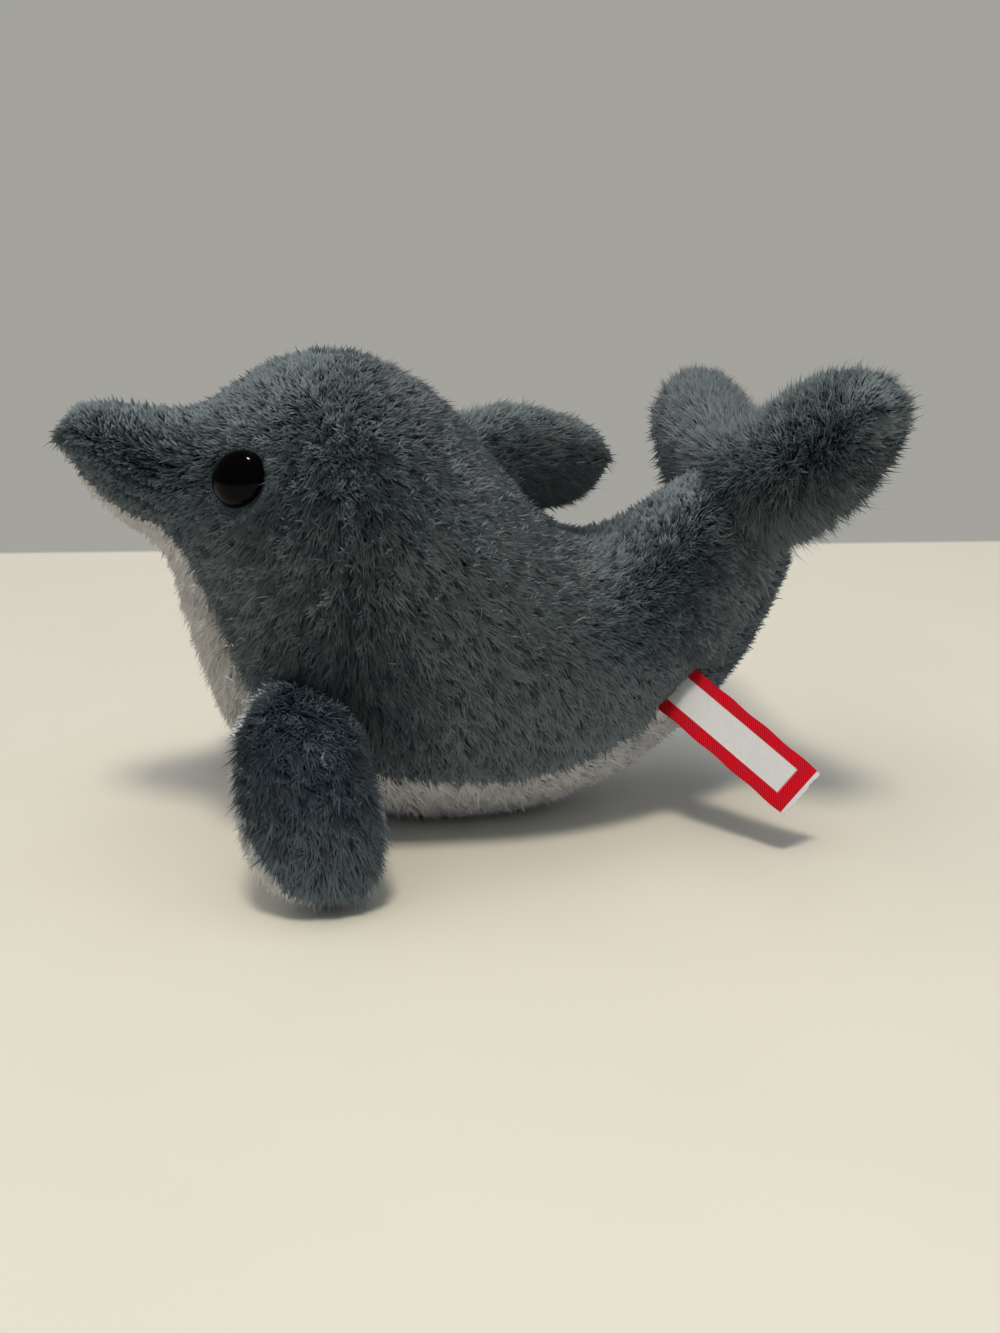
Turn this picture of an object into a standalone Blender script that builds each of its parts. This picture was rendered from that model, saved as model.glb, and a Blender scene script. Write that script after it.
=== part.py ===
"""A small plush dolphin: its sewn cloth panels, fillings, safety eyes and side label, each a solid of its own.

Metres, +Z up. The snout points to -X and the dolphin's left side to -Y. It lies on its belly and flippers
on the plane z = 0, and the origin is the middle of its footprint.

Every stuffed part is a tube of elliptical sections, drafted as a soft-toy pattern is: a row gives one edge
of the section, the opposite edge and half of the thickness across them. The cloth panels are strips of that
tube, the full thickness of the plush, and the filling is the room left inside.
"""

import math

import bpy
import numpy as np
from mathutils import Matrix, Vector

MM = 0.001
DRAFT_ZERO = np.array([6.35, -0.5, 0.0]) * MM  # from the middle of the footprint to the draft's zero
GAP = 0.3 * MM  # clearance between pieces that touch
PLUSH = 3.5 * MM  # thickness of the plush: knitted backing and leaning pile
TIP = 0.012  # how far from a closed tip the sections start, as a share of the tube
ROOM_IN_BENDS = 0.6  # share of a tight section's radius that the cloth may fill

# Body, snout to tail, in millimetres: back line x, z, belly line x, z, half width; then the share by which
# the section is wider above its middle and narrower below it.
BODY_ROWS = (
    (-100.0, 97.5, -100.0, 97.5, 0.0, 0.0),
    (-95.0, 103.5, -95.5, 88.5, 9.0, 0.0),
    (-84.5, 104.0, -88.0, 77.0, 14.0, 0.0),
    (-72.0, 102.5, -79.0, 69.0, 19.5, 0.0),
    (-61.0, 106.5, -75.0, 61.0, 28.0, 0.05),
    (-49.5, 113.0, -71.5, 49.5, 35.5, 0.1),
    (-34.0, 115.5, -65.5, 31.0, 40.5, 0.15),
    (-18.0, 109.5, -52.5, 12.5, 42.5, 0.2),
    (-4.5, 97.5, -29.0, 1.2, 42.0, 0.28),
    (9.0, 81.0, 0.0, -1.7, 39.0, 0.3),
    (21.0, 71.0, 26.5, 4.8, 34.0, 0.28),
    (32.0, 71.5, 47.0, 17.5, 29.0, 0.24),
    (41.5, 77.0, 63.0, 33.0, 24.0, 0.2),
    (49.0, 82.0, 71.5, 48.0, 20.0, 0.12),
    (54.5, 85.5, 76.0, 62.0, 17.0, 0.0),
    (62.0, 90.0, 72.0, 80.0, 8.5, 0.0),
)
BELLY_SEAM = (26.0, 34.0, 42.0, 38.0, 50.0, 62.0, 66.0, 76.0)  # degrees from the belly line, snout to tail
LABEL_SEAM = 0.738  # where the white belly ends and the grey tail gusset begins
BELLY_LENGTH = 250 * MM  # the body measured round its belly line
SIDE_STRIPS, BELLY_STRIPS = 8, 7
BODY_STEPS = 27

# Dorsal fin, tip to root: front edge x, z, rear edge x, z, half thickness.
DORSAL_ROWS = (
    (30.5, 88.0, 30.5, 88.0, 0.0),
    (25.5, 95.5, 26.5, 80.5, 7.0),
    (14.0, 100.5, 20.0, 76.0, 10.0),
    (1.0, 102.0, 12.0, 74.0, 11.0),
    (-12.0, 98.0, 3.0, 70.0, 11.0),
)

# Left flipper, tip to root: front edge x, y, z, rear edge x, y, z, half thickness.
FLIPPER_ROWS = (
    (-47.5, -53.0, -0.5, -47.5, -53.0, -0.5, 0.0),
    (-60.0, -53.0, 7.0, -37.0, -53.5, 4.0, 7.0),
    (-65.5, -52.0, 18.0, -33.0, -53.0, 13.0, 9.5),
    (-67.0, -49.0, 30.0, -33.0, -50.0, 22.0, 10.5),
    (-65.5, -41.5, 42.0, -35.0, -42.5, 30.5, 10.5),
    (-57.0, -23.0, 47.0, -38.0, -25.0, 36.0, 9.0),
)
FLIPPER_SEAM = 24.0  # degrees that the front seam lies round on the outer face, so that the white shows

# Flukes, middle to left tip: trailing edge x, y, z, leading edge x, y, z, half thickness.
FLUKE_ROWS = (
    (66.5, 0.0, 97.5, 62.0, 0.0, 64.0, 13.5),
    (67.5, -13.0, 101.5, 63.5, -14.0, 64.5, 13.5),
    (69.0, -28.0, 107.0, 66.5, -28.0, 69.0, 13.5),
    (71.0, -44.0, 109.5, 70.0, -44.0, 77.5, 13.0),
    (73.0, -56.0, 106.5, 72.5, -55.0, 88.0, 10.0),
    (74.0, -61.0, 98.0, 74.0, -61.0, 98.0, 0.0),
)
FLUKE_ROLL, FLUKE_YAW = 7.0, 4.0  # degrees, left fluke up and back: the tail has a slight twist
FIN_STRIPS = 6  # strips across one panel of a fin
DORSAL_STEPS, FLIPPER_STEPS, FLUKE_STEPS = 9, 10, 19

# Safety eye: place on the body, as a share of its length and degrees from the back line.
EYE_AT = (0.300, 70.0)
EYE_RADIUS = 6.5 * MM
DOME_HEIGHT = 5.5 * MM
EYE_SINK = 2.5 * MM  # how far the dome's flat back presses into the pile
STEM_RADIUS, STEM_LENGTH = 2.0 * MM, 11.0 * MM
WASHER_RADIUS, WASHER_THICK = 7.0 * MM, 2.0 * MM
EYE_SEGMENTS = 18

# Woven side label, sewn into the seam where belly, side and tail gusset meet.
LABEL_ROOT = (40.5, -19.1, 35.9)  # millimetres, the middle of the sewn end
LABEL_TIP = (65.3, -45.0, 14.8)
LABEL_ACROSS = (8.1, 2.0, 10.4)  # direction across the tape
LABEL_WIDTH = 13.0 * MM
LABEL_THICK = 0.7 * MM
LABEL_BOW = 1.5 * MM

GREY_PLUSH = ("grey_plush", (0.105, 0.150, 0.180), 0.95, 0.0)
WHITE_PLUSH = ("white_plush", (0.80, 0.76, 0.66), 0.95, 0.0)
FIBRE = ("polyester_fibre", (0.85, 0.85, 0.84), 1.0, 0.0)
EYE_BLACK = ("eye_black", (0.006, 0.005, 0.005), 0.08, 0.0)
WASHER_WHITE = ("washer_white", (0.72, 0.72, 0.70), 0.5, 0.0)
LABEL_TAPE = ("label_tape", (0.55, 0.012, 0.022), 0.6, 0.0)


def clear_scene():
    for item in list(bpy.data.objects):
        bpy.data.objects.remove(item, do_unlink=True)


def collection(name):
    made = bpy.data.collections.new(name)
    bpy.context.scene.collection.children.link(made)
    return made


def material(finish):
    """The named Principled material, made on its first use."""
    name, colour, roughness, metallic = finish
    if name in bpy.data.materials:
        return bpy.data.materials[name]
    made = bpy.data.materials.new(name)
    made.use_nodes = True
    shader = made.node_tree.nodes["Principled BSDF"]
    shader.inputs["Base Color"].default_value = (*colour, 1)
    shader.inputs["Roughness"].default_value = roughness
    shader.inputs["Metallic"].default_value = metallic
    return made


def spline(rows, where):
    """Values of a natural cubic spline through evenly spaced rows, at positions from 0 to 1."""
    rows = np.asarray(rows, float)
    count = len(rows)
    system, bend_of = np.eye(count), np.zeros_like(rows)
    for i in range(1, count - 1):
        system[i, i - 1 : i + 2] = 1, 4, 1
        bend_of[i] = 6 * (rows[i - 1] - 2 * rows[i] + rows[i + 1])
    bend = np.linalg.solve(system, bend_of)
    at = np.asarray(where, float) * (count - 1)
    left = np.clip(at.astype(int), 0, count - 2)
    after = (at - left)[..., None]
    before = 1 - after
    straight = before * rows[left] + after * rows[left + 1]
    return straight + ((before**3 - before) * bend[left] + (after**3 - after) * bend[left + 1]) / 6


def in_space(rows):
    """Rows of the middle plane, x, z, x, z and what follows, with their two y values added."""
    return tuple((ax, 0.0, az, bx, 0.0, bz, *rest) for ax, az, bx, bz, *rest in rows)


def both_sides(rows):
    """Rows from the middle to the left tip, continued to the right tip by reflection."""
    right = [(ax, -ay, az, bx, -by, bz, half) for ax, ay, az, bx, by, bz, half in rows[:0:-1]]
    return tuple(right) + tuple(rows)


def twisted(rows, roll, yaw):
    """Rows turned about the middle row's centre, in degrees, the -Y side upwards and to +X."""
    middle = rows[len(rows) // 2]
    centre = (Vector(middle[0:3]) + Vector(middle[3:6])) / 2
    turn = Matrix.Rotation(math.radians(yaw), 3, "Z") @ Matrix.Rotation(math.radians(-roll), 3, "X")

    def placed(point):
        return tuple(centre + turn @ (Vector(point) - centre))

    return tuple((*placed(row[0:3]), *placed(row[3:6]), row[6]) for row in rows)


def skin(rows, along, around):
    """Points of a tube: along runs from its first row to its last, around from edge to edge in radians.

    A row's eighth value, where it has one, makes its section an egg, blunt towards the first edge.
    """
    values = spline(rows, along) * MM
    step = 0.002
    ahead = spline(rows, np.minimum(along + step, 1)) * MM
    behind = spline(rows, np.maximum(along - step, 0)) * MM
    first, second, half_thick = values[..., 0:3], values[..., 3:6], values[..., 6:7]
    egg = values[..., 7:8] / MM if values.shape[-1] > 7 else 0.0
    middle = (first + second) / 2
    half = (first - second) / 2
    run = (ahead[..., 0:3] + ahead[..., 3:6] - behind[..., 0:3] - behind[..., 3:6]) / 2
    across = np.cross(run, half)
    across /= np.linalg.norm(across, axis=-1, keepdims=True)
    turn = np.asarray(around, float)[..., None]
    across = across * half_thick * (1 + egg * np.cos(turn))
    return middle + half * np.cos(turn) + across * np.sin(turn)


def thinning(rows, along):
    """Share of the depth that is kept where a section is too tightly curved to hold the whole cloth."""
    values = spline(rows, along) * MM
    half = np.linalg.norm(values[..., 0:3] - values[..., 3:6], axis=-1) / 2
    half_thick = np.abs(values[..., 6])
    tightest = np.minimum(half, half_thick) ** 2 / np.maximum(half, half_thick)
    return np.minimum(1, ROOM_IN_BENDS * tightest / PLUSH)


def tube(rows, along, around, depth=0.0):
    """Points a given depth under the tube's surface, kept that far above the table as well."""
    along, around = np.broadcast_arrays(np.asarray(along, float), np.asarray(around, float))
    step = 0.001
    points = skin(rows, along, around)
    lengthways = skin(rows, np.minimum(along + step, 1), around) - skin(rows, along - step, around)
    sideways = skin(rows, along, around + step) - skin(rows, along, around - step)
    normal = np.cross(sideways, lengthways)
    normal /= np.linalg.norm(normal, axis=-1, keepdims=True)
    depth = depth * thinning(rows, along)[..., None] if depth > 0 else depth
    points = points - normal * depth
    points[..., 2:3] = np.maximum(points[..., 2:3], depth)
    return points + DRAFT_ZERO


def nudged(rows, along, around, first, last):
    """Angles of a panel's grid with its two seams drawn back by half the clearance."""
    cut = around[:, first : last + 1].copy()
    for column, sign in ((0, 1), (-1, -1)):
        near = skin(rows, along, cut[:, column] - 0.01)
        far = skin(rows, along, cut[:, column] + 0.01)
        reach = np.linalg.norm(far - near, axis=-1) / 0.02
        cut[:, column] += sign * GAP / 2 / reach
    return cut


def triangles(corner):
    """Two triangles for each cell of a grid of vertex numbers."""
    a, b = corner[:-1, :-1].ravel(), corner[:-1, 1:].ravel()
    c, d = corner[1:, 1:].ravel(), corner[1:, :-1].ravel()
    return np.concatenate([np.stack([a, b, c], 1), np.stack([a, c, d], 1)])


def add_mesh(home, name, points, faces, finish, side=1):
    """A mesh object whose faces point outwards, on the other side of the body where side is -1."""
    points = (points - DRAFT_ZERO) * (1, side, 1) + DRAFT_ZERO
    corner = points[faces]
    if np.einsum("ij,ij->i", corner[:, 0], np.cross(corner[:, 1], corner[:, 2])).sum() < 0:
        faces = faces[:, ::-1]
    mesh = bpy.data.meshes.new(name)
    mesh.from_pydata(points.tolist(), [], faces.tolist())
    mesh.shade_smooth()
    mesh.set_sharp_from_angle(angle=math.radians(40))
    mesh.materials.append(material(finish))
    made = bpy.data.objects.new(name, mesh)
    home.objects.link(made)
    return made


def add_panel(home, name, rows, along, around, finish, side=1):
    """One cloth panel: outer face, inner face and the four cut edges between them."""
    outer = tube(rows, along[:, None], around)
    inner = tube(rows, along[:, None], around, PLUSH)
    front = np.arange(outer[..., 0].size).reshape(outer.shape[:2])
    back = front + front.size
    sheets = [triangles(front), triangles(back)[:, ::-1]]
    edges = (
        (front[0], back[0]),
        (back[-1], front[-1]),
        (back[:, 0], front[:, 0]),
        (front[:, -1], back[:, -1]),
    )
    sheets += [triangles(np.stack(pair))[:, ::-1] for pair in edges]
    points = np.concatenate([outer.reshape(-1, 3), inner.reshape(-1, 3)])
    return add_mesh(home, name, points, np.concatenate(sheets), finish, side)


def add_mass(home, name, rows, along, around, depth, finish, side=1):
    """The closed body that lies a given depth under the whole tube."""
    rings = tube(rows, along[:, None], around[:, :-1], depth)
    count = rings.shape[1]
    number = np.arange(rings[..., 0].size).reshape(rings.shape[:2])
    wrapped = np.concatenate([number, number[:, :1]], axis=1)
    first, last = number.size, number.size + 1
    ring = np.arange(count)
    after = (ring + 1) % count
    start = np.stack([np.full(count, first), number[0][after], number[0][ring]], 1)
    end = np.stack([np.full(count, last), number[-1][ring], number[-1][after]], 1)
    points = np.concatenate([rings.reshape(-1, 3), rings[:1].mean(1), rings[-1:].mean(1)])
    faces = np.concatenate([triangles(wrapped), start, end])
    return add_mesh(home, name, points, faces, finish, side)


def cut(piece, cutter):
    modifier = piece.modifiers.new("cut_by_" + cutter.name, "BOOLEAN")
    modifier.operation = "DIFFERENCE"
    modifier.object = cutter


def as_cutter(piece):
    piece.hide_render = True
    piece.display_type = "WIRE"
    return piece


def body_grid():
    """Positions along the body and, for each of them, the angles shared by panels, filling and cutter."""
    along = np.linspace(0, 1, BODY_STEPS)
    along[0] = TIP
    along[np.abs(along - LABEL_SEAM).argmin()] = LABEL_SEAM
    seam = math.pi - np.radians(spline([[angle] for angle in BELLY_SEAM], along)[:, :1])
    side = np.linspace(0, 1, SIDE_STRIPS + 1)
    belly = np.linspace(0, 1, BELLY_STRIPS + 1)[1:-1]
    left = seam * side
    under = seam + (2 * math.pi - 2 * seam) * belly
    right = 2 * math.pi - left[:, ::-1]
    return along, np.concatenate([left, under, right], axis=1)


def fin_grid(steps, closed, front_seam=0.0):
    """Positions along a fin and the angles of its two panels, from the front seam round to it again."""
    along = (1 - np.cos(np.linspace(0, math.pi if closed else math.pi / 2, steps))) / (2 if closed else 1)
    along = np.clip(along, TIP, 1 - TIP if closed else 1)
    start = math.radians(front_seam)
    outer = np.linspace(start, math.pi, FIN_STRIPS + 1)
    inner = np.linspace(math.pi, 2 * math.pi + start, FIN_STRIPS + 1)[1:]
    return along, np.tile(np.concatenate([outer, inner]), (steps, 1))


def make_body(home):
    rows = in_space(BODY_ROWS)
    along, around = body_grid()
    left_seam, right_seam = SIDE_STRIPS, SIDE_STRIPS + BELLY_STRIPS
    last = around.shape[1] - 1
    split = int(np.abs(along - LABEL_SEAM).argmin())
    side_cuts = (("side_panel_left", 0, left_seam), ("side_panel_right", right_seam, last))
    panels = []
    for name, first_column, last_column in side_cuts:
        angles = nudged(rows, along, around, first_column, last_column)
        panels.append(add_panel(home, name, rows, along, angles, GREY_PLUSH))
    angles = nudged(rows, along, around, left_seam, right_seam)
    front, rear = along[: split + 1].copy(), along[split:].copy()
    front[-1] -= GAP / 2 / BELLY_LENGTH
    rear[0] += GAP / 2 / BELLY_LENGTH
    panels.append(add_panel(home, "belly_panel", rows, front, angles[: split + 1], WHITE_PLUSH))
    panels.append(add_panel(home, "tail_gusset", rows, rear, angles[split:], GREY_PLUSH))
    filling = add_mass(home, "body_filling", rows, along, around, PLUSH + GAP, FIBRE)
    return panels, filling


def make_fin(home, name, rows, steps, panels, side=1, closed=False, front_seam=0.0):
    """A stuffed fin of two named panels, the first running from the first edge round to the second."""
    along, around = fin_grid(steps, closed, front_seam)
    pieces = []
    for number, (panel, finish) in enumerate(panels):
        angles = nudged(rows, along, around, number * FIN_STRIPS, (number + 1) * FIN_STRIPS)
        pieces.append(add_panel(home, f"{name}_{panel}_panel", rows, along, angles, finish, side))
    filling = add_mass(home, f"{name}_filling", rows, along, around, PLUSH + GAP, FIBRE, side)
    return pieces + [filling]


def turned(home, name, profile, finish, place, closed_profile=False):
    """A solid of revolution from (radius, height) points, its axis laid along place's Z."""
    mesh = bpy.data.meshes.new(name)
    points = [(radius, 0.0, height) for radius, height in profile]
    links = [(i, i + 1) for i in range(len(points) - 1)]
    if closed_profile:
        links.append((len(points) - 1, 0))
    mesh.from_pydata(points, links, [])
    mesh.materials.append(material(finish))
    made = bpy.data.objects.new(name, mesh)
    home.objects.link(made)
    made.matrix_world = place
    screw = made.modifiers.new("turn", "SCREW")
    screw.axis = "Z"
    screw.steps = screw.render_steps = EYE_SEGMENTS
    screw.use_merge_vertices = True
    screw.merge_threshold = 0.00001
    screw.use_smooth_shade = True
    return made


def dome(radius, height, steps):
    """Points of a dome from its crown to its rim."""
    turns = [i * math.pi / 2 / steps for i in range(steps + 1)]
    return [(radius * math.sin(turn), height * math.cos(turn)) for turn in turns]


def eye_profile():
    """Dome, flat back and barbed stem, crown first."""
    barbs = 3
    pitch = STEM_LENGTH / (barbs + 1)
    barb = 0.4 * MM
    points = dome(EYE_RADIUS, DOME_HEIGHT, 6) + [(STEM_RADIUS, 0.0)]
    for number in range(1, barbs + 1):
        height = -pitch * number
        points += [(STEM_RADIUS, height - barb), (STEM_RADIUS - barb, height - barb - 0.01 * MM)]
        points += [(STEM_RADIUS, height - pitch / 2)]
    return points + [(STEM_RADIUS - barb, -STEM_LENGTH), (0.0, -STEM_LENGTH)]


def seat_profile():
    """The room of an eye and its washer, from above the dome to beyond the stem."""
    washer_top = EYE_SINK - PLUSH
    washer_foot = washer_top - WASHER_THICK - 2 * GAP
    return [
        (0.0, 2 * DOME_HEIGHT),
        (EYE_RADIUS + GAP, 2 * DOME_HEIGHT),
        (EYE_RADIUS + GAP, -GAP),
        (STEM_RADIUS + GAP, -GAP),
        (STEM_RADIUS + GAP, washer_top),
        (WASHER_RADIUS + GAP, washer_top),
        (WASHER_RADIUS + GAP, washer_foot),
        (STEM_RADIUS + GAP, washer_foot),
        (STEM_RADIUS + GAP, -STEM_LENGTH - GAP),
        (0.0, -STEM_LENGTH - GAP),
    ]


def washer_profile():
    top = EYE_SINK - PLUSH - GAP
    collar = 3.2 * MM
    return [
        (STEM_RADIUS + GAP, top),
        (WASHER_RADIUS, top),
        (WASHER_RADIUS, top - WASHER_THICK / 2),
        (collar, top - WASHER_THICK),
        (STEM_RADIUS + GAP, top - WASHER_THICK),
    ]


def make_eye(home, cutters, side, sign, panel, filling):
    """A domed eye, its washer behind the cloth and the hole for both."""
    rows = in_space(BODY_ROWS)
    along, angle = EYE_AT[0], sign * math.radians(EYE_AT[1])
    on_skin = tube(rows, along, angle)
    under = tube(rows, along, angle, EYE_SINK)
    outward = Vector(on_skin - under).normalized()
    place = Matrix.Translation(Vector(under)) @ outward.to_track_quat("Z", "Y").to_matrix().to_4x4()
    turned(home, f"eye_{side}", eye_profile(), EYE_BLACK, place)
    turned(home, f"eye_washer_{side}", washer_profile(), WASHER_WHITE, place, closed_profile=True)
    seat = as_cutter(turned(cutters, f"eye_seat_{side}", seat_profile(), FIBRE, place))
    cut(panel, seat)
    cut(filling, seat)


def label_strip(home, name, width, grown):
    """The tape as an open surface, bowed along its length, with a Solidify for its thickness."""
    root, tip = (Vector(end) * MM + Vector(DRAFT_ZERO) for end in (LABEL_ROOT, LABEL_TIP))
    run = tip - root
    across = Vector(LABEL_ACROSS)
    across = (across - run * across.dot(run) / run.length_squared).normalized()
    face = run.cross(across).normalized()
    steps = 8
    points = []
    for i in range(steps + 1):
        share = i / steps
        middle = root + run * share + face * LABEL_BOW * math.sin(math.pi * share)
        points += [middle - across * width / 2, middle + across * width / 2]
    faces = [(2 * i, 2 * i + 1, 2 * i + 3, 2 * i + 2) for i in range(steps)]
    mesh = bpy.data.meshes.new(name)
    mesh.from_pydata([tuple(p) for p in points], [], faces)
    mesh.materials.append(material(LABEL_TAPE))
    made = bpy.data.objects.new(name, mesh)
    home.objects.link(made)
    solidify = made.modifiers.new("thickness", "SOLIDIFY")
    solidify.thickness = LABEL_THICK + 2 * grown
    solidify.offset = 0
    solidify.use_even_offset = True
    return made


def make_label(home, cutters, sewn_to):
    label_strip(home, "side_label", LABEL_WIDTH, 0)
    slot = as_cutter(label_strip(cutters, "label_slot", LABEL_WIDTH + 2 * GAP, GAP))
    for piece in sewn_to:
        cut(piece, slot)


def main():
    clear_scene()
    home = collection("plush_dolphin")
    cutters = collection("cutters")
    panels, filling = make_body(home)
    along, around = body_grid()
    body_room = as_cutter(
        add_mass(cutters, "body_room", in_space(BODY_ROWS), along, around, -GAP, FIBRE)
    )
    pair = (("left", GREY_PLUSH), ("right", GREY_PLUSH))
    fins = make_fin(home, "dorsal", in_space(DORSAL_ROWS), DORSAL_STEPS, pair)
    pair = (("outer", GREY_PLUSH), ("inner", WHITE_PLUSH))
    for side, sign in (("left", 1), ("right", -1)):
        name = f"flipper_{side}"
        fins += make_fin(home, name, FLIPPER_ROWS, FLIPPER_STEPS, pair, sign, front_seam=FLIPPER_SEAM)
    for piece in fins:
        cut(piece, body_room)
    fluke_rows = twisted(both_sides(FLUKE_ROWS), FLUKE_ROLL, FLUKE_YAW)
    pair = (("under", GREY_PLUSH), ("upper", GREY_PLUSH))
    make_fin(home, "fluke", fluke_rows, FLUKE_STEPS, pair, closed=True)
    along, around = fin_grid(FLUKE_STEPS, True)
    fluke_room = as_cutter(add_mass(cutters, "fluke_room", fluke_rows, along, around, -GAP, FIBRE))
    for piece in panels + [filling]:
        cut(piece, fluke_room)
    make_eye(home, cutters, "left", 1, panels[0], filling)
    make_eye(home, cutters, "right", -1, panels[1], filling)
    make_label(home, cutters, [panels[0], panels[2], panels[3], filling])


main()
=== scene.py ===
"""The looks of a small plush dolphin: its pile, eyes and woven label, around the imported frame.

Metres, +Z up, in the frame's own axes: the snout points to -X and the dolphin's left side to -Y.
"""

import math

import bpy
import numpy as np
from mathutils import Matrix, Vector


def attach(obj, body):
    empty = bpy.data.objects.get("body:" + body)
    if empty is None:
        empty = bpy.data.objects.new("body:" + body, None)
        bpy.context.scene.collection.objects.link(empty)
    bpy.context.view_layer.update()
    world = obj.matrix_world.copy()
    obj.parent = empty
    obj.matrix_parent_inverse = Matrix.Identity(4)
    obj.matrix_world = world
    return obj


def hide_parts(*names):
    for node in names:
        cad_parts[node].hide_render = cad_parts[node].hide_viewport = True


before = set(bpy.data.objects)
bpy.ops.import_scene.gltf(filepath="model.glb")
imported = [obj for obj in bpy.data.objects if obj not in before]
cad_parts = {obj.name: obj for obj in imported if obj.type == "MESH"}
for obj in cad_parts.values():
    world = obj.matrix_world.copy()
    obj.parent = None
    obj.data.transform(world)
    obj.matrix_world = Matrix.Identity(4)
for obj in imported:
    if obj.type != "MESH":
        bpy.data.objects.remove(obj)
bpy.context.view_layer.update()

# Body cover: two grey side panels and a white belly panel, cut from knitted plush with a 5 mm pile and
# sewn edge to edge into one tube, which the fibre filling rounds out. The tail gusset closes the same
# tube behind the belly. The pile parts below the crown and runs down both cheeks and flanks.
MM = 0.001
DRAFT_ZERO = np.array([6.35, -0.5, 0.0]) * MM  # from the middle of the footprint to the draft's zero
BODY_ROWS = (
    # snout to tail, in millimetres: back line x, z, belly line x, z, half width; then the share by which
    # the section is wider above its middle and narrower below it
    (-100.0, 97.5, -100.0, 97.5, 0.0, 0.0),
    (-95.0, 103.5, -95.5, 88.5, 9.0, 0.0),
    (-84.5, 104.0, -88.0, 77.0, 14.0, 0.0),
    (-72.0, 102.5, -79.0, 69.0, 19.5, 0.0),
    (-61.0, 106.5, -75.0, 61.0, 28.0, 0.05),
    (-49.5, 113.0, -71.5, 49.5, 35.5, 0.1),
    (-34.0, 115.5, -65.5, 31.0, 40.5, 0.15),
    (-18.0, 109.5, -52.5, 12.5, 42.5, 0.2),
    (-4.5, 97.5, -29.0, 1.2, 42.0, 0.28),
    (9.0, 81.0, 0.0, -1.7, 39.0, 0.3),
    (21.0, 71.0, 26.5, 4.8, 34.0, 0.28),
    (32.0, 71.5, 47.0, 17.5, 29.0, 0.24),
    (41.5, 77.0, 63.0, 33.0, 24.0, 0.2),
    (49.0, 82.0, 71.5, 48.0, 20.0, 0.12),
    (54.5, 85.5, 76.0, 62.0, 17.0, 0.0),
    (62.0, 90.0, 72.0, 80.0, 8.5, 0.0),
)
BELLY_SEAM = (26.0, 38.0, 48.0, 42.0, 50.0, 62.0, 66.0, 76.0)  # degrees from the belly line, snout to tail
LABEL_SEAM = 0.738  # share of the length at which the white belly ends and the grey tail gusset begins
INSET = 3.0 * MM  # depth of the cloth under the solids' surface, which the pile's tips reach
SEAM_DIP, SEAM_CELLS = 1.0 * MM, 4  # how much deeper the cloth lies at a seam, and over how many cells
STEP, TURN_STEP = 0.002, 0.02  # share of the length and radians over which directions are found
STRAY = 0.38  # share of a cell by which a strand's foot strays from the even grid
PILE, LEAN = 2.2, 50.0  # height of the pile over the cloth in millimetres, and its lean in degrees
TUFT_CELLS = 3.2  # cells from one tuft to the next
TUFT_TURN, STRAND_TURN = 0.3, 0.34  # how far a tuft and a strand turn off the pile's flow
GATHERED, GATHERED_MAX = 0.45, 1.5 * MM  # share and greatest length by which a tip is drawn to its tuft
MEAN_LENGTH, TUFT_LENGTH, STRAND_LENGTH, FEW_LONG = 0.95, 0.1, 0.14, 0.2  # shares of the pile's length
PAINTED_LIGHT_TONE, TUFT_TONE, STRAND_TONE = 0.3, 0.2, 0.12  # how far each moves a strand's tone from 0.5: painted light and shade, a tuft's own tone, a strand's own tone


def spline(rows, where):
    """Values of a natural cubic spline through evenly spaced rows, at positions from 0 to 1."""
    rows = np.asarray(rows, float)
    count = len(rows)
    system, bend_of = np.eye(count), np.zeros_like(rows)
    for i in range(1, count - 1):
        system[i, i - 1 : i + 2] = 1, 4, 1
        bend_of[i] = 6 * (rows[i - 1] - 2 * rows[i] + rows[i + 1])
    bend = np.linalg.solve(system, bend_of)
    at = np.asarray(where, float) * (count - 1)
    left = np.clip(at.astype(int), 0, count - 2)
    after = (at - left)[..., None]
    before = 1 - after
    straight = before * rows[left] + after * rows[left + 1]
    return straight + ((before**3 - before) * bend[left] + (after**3 - after) * bend[left + 1]) / 6


def in_space(rows):
    """Rows of the middle plane, x, z, x, z and what follows, with their two y values added."""
    return tuple((ax, 0.0, az, bx, 0.0, bz, *rest) for ax, az, bx, bz, *rest in rows)


def unit(vectors):
    return vectors / np.maximum(np.linalg.norm(vectors, axis=-1, keepdims=True), 1e-12)


def tube(rows, along, around):
    """Middle + half * cos(around) + across * sin(around): the ellipse between a section's two edges.

    Along runs from the first row to the last and around is in radians. A row's eighth value, where it
    has one, makes its section an egg: across grows by that share of cos(around).
    """
    values = spline(rows, along) * MM
    ahead = spline(rows, np.minimum(along + STEP, 1)) * MM
    behind = spline(rows, np.maximum(along - STEP, 0)) * MM
    first, second, half_thick = values[..., 0:3], values[..., 3:6], values[..., 6:7]
    half = (first - second) / 2
    run = (ahead[..., 0:3] + ahead[..., 3:6] - behind[..., 0:3] - behind[..., 3:6]) / 2
    across = unit(np.cross(run, half))
    turn = np.asarray(around, float)[..., None]
    egg = values[..., 7:8] / MM if values.shape[-1] > 7 else 0.0
    across = across * half_thick * (1 + egg * np.cos(turn))
    return (first + second) / 2 + half * np.cos(turn) + across * np.sin(turn)


def cloth(rows, along, around, inset):
    """Points that lie the inset under the tube, with its outward, lengthwise and sideways directions."""
    along, around = np.broadcast_arrays(np.asarray(along, float), np.asarray(around, float))
    low, high = np.maximum(along - STEP, 0), np.minimum(along + STEP, 1)
    lengthways = tube(rows, high, around) - tube(rows, low, around)
    sideways = tube(rows, along, around + TURN_STEP) - tube(rows, along, around - TURN_STEP)
    outward = unit(np.cross(sideways, lengthways))
    points = tube(rows, along, around) - outward * np.asarray(inset, float)[..., None]
    return points, outward, unit(lengthways), unit(sideways)


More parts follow.
